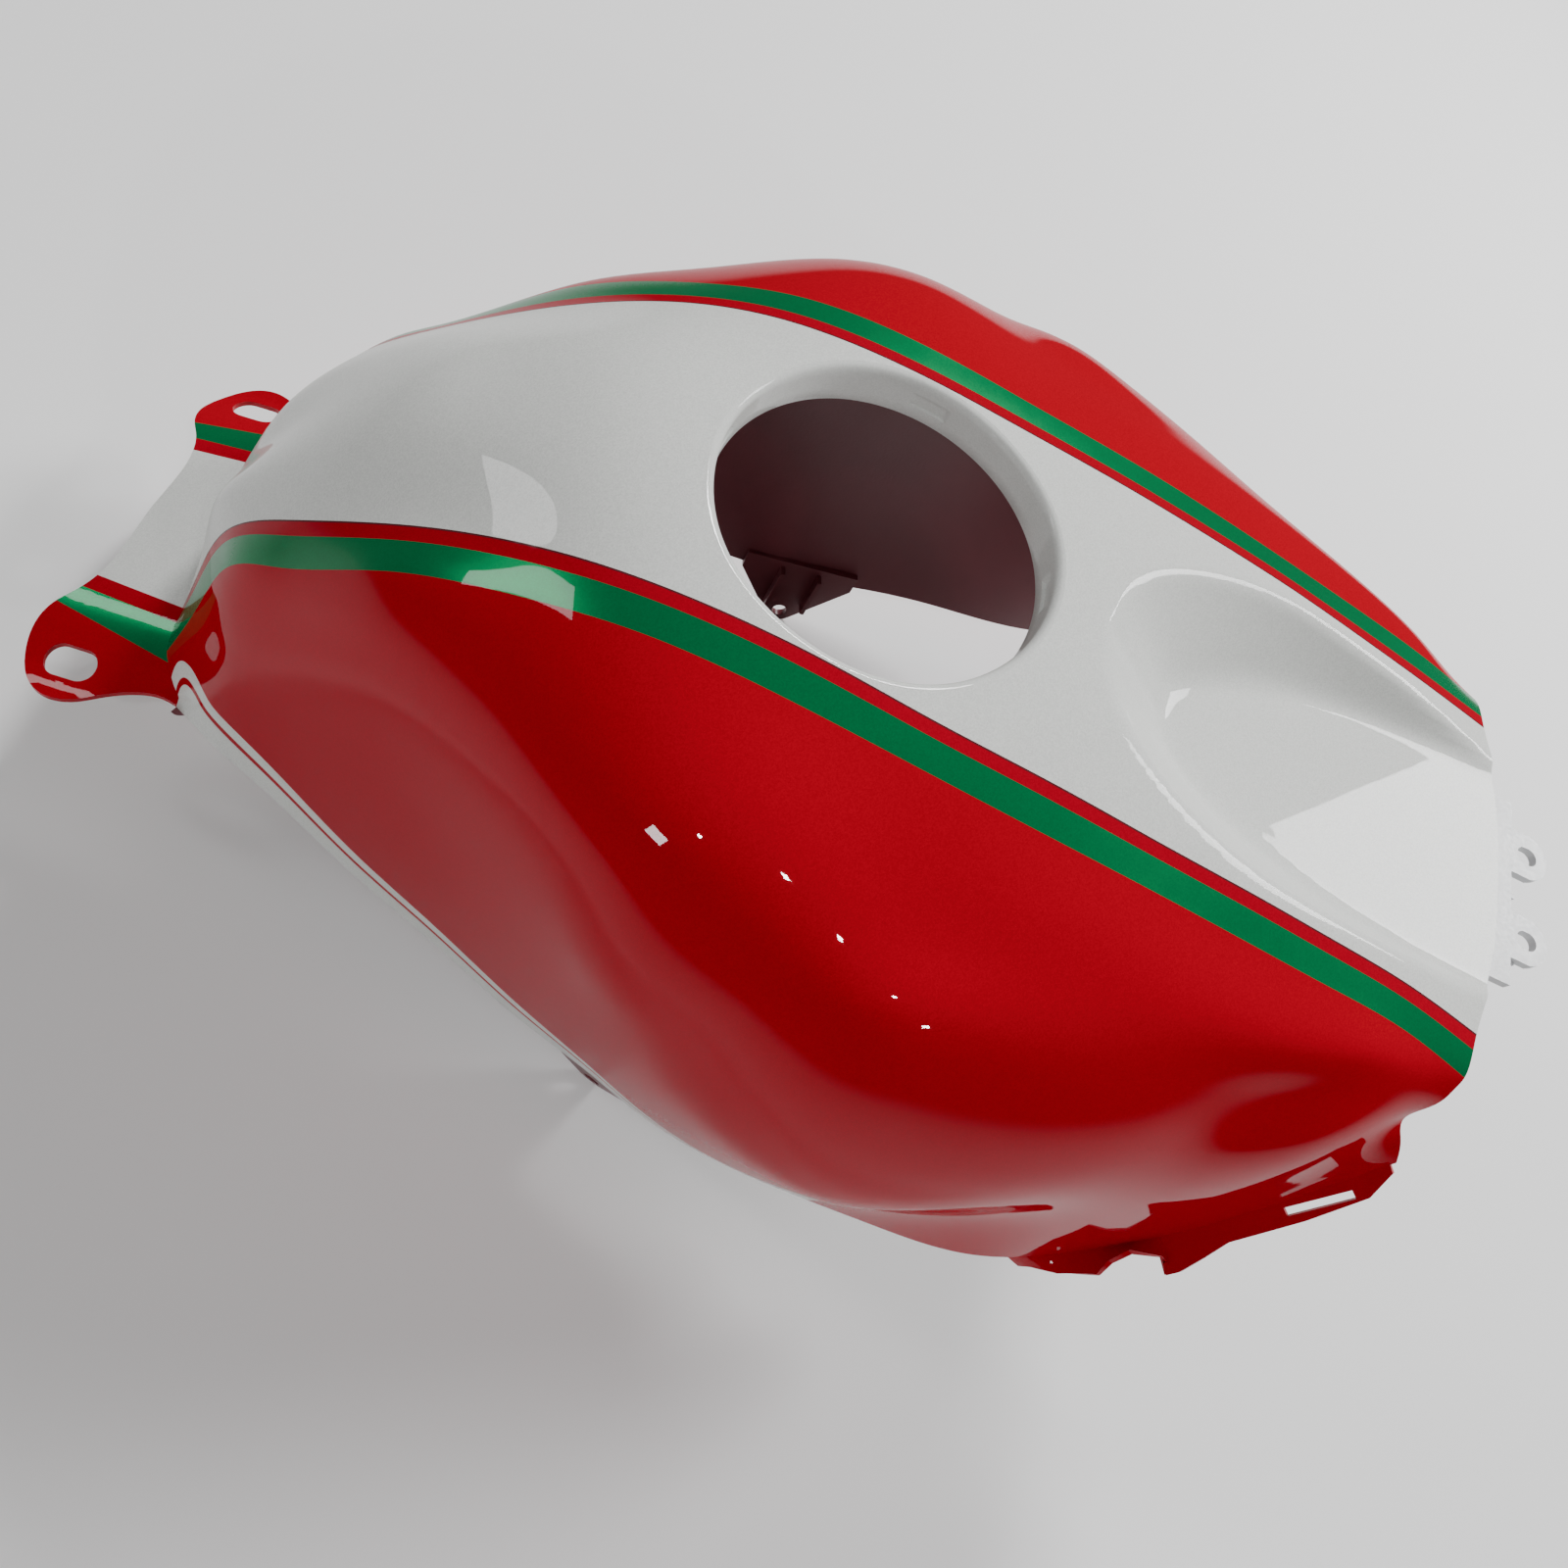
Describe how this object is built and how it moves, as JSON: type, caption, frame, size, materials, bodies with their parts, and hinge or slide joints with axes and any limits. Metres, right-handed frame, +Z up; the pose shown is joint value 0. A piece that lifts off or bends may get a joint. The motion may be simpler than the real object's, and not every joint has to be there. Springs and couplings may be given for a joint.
{
  "type": "fuel tank cover",
  "caption": "Moulded plastic fuel tank cover for a motorcycle: domed shell, round filler opening, front scoop, knee recesses, rear neck with slotted ears, striped paint.",
  "frame": {"origin": "centre of the round filler opening, level with the skin around it", "axes": "+X to the front of the motorcycle, +Y to its left, +Z up along the opening's axis"},
  "size_m": [0.6256, 0.3979, 0.2903],
  "materials": {
    "painted_shell": "glossy red and pearl white paint with green stripes under clear coat",
    "white_paint": "glossy pearl white under clear coat",
    "bare_plastic": "satin",
    "pale_plastic": "satin"
  },
  "bodies": {
    "root": {"tank_shell": "painted_shell", "filler_collar": "white_paint", "front_bracket": "pale_plastic", "rear_saddle": "painted_shell", "left_lower_rail": "painted_shell", "right_lower_rail": "painted_shell", "left_knee_tab": "bare_plastic", "right_knee_tab": "bare_plastic"}
  },
  "joints": []
}
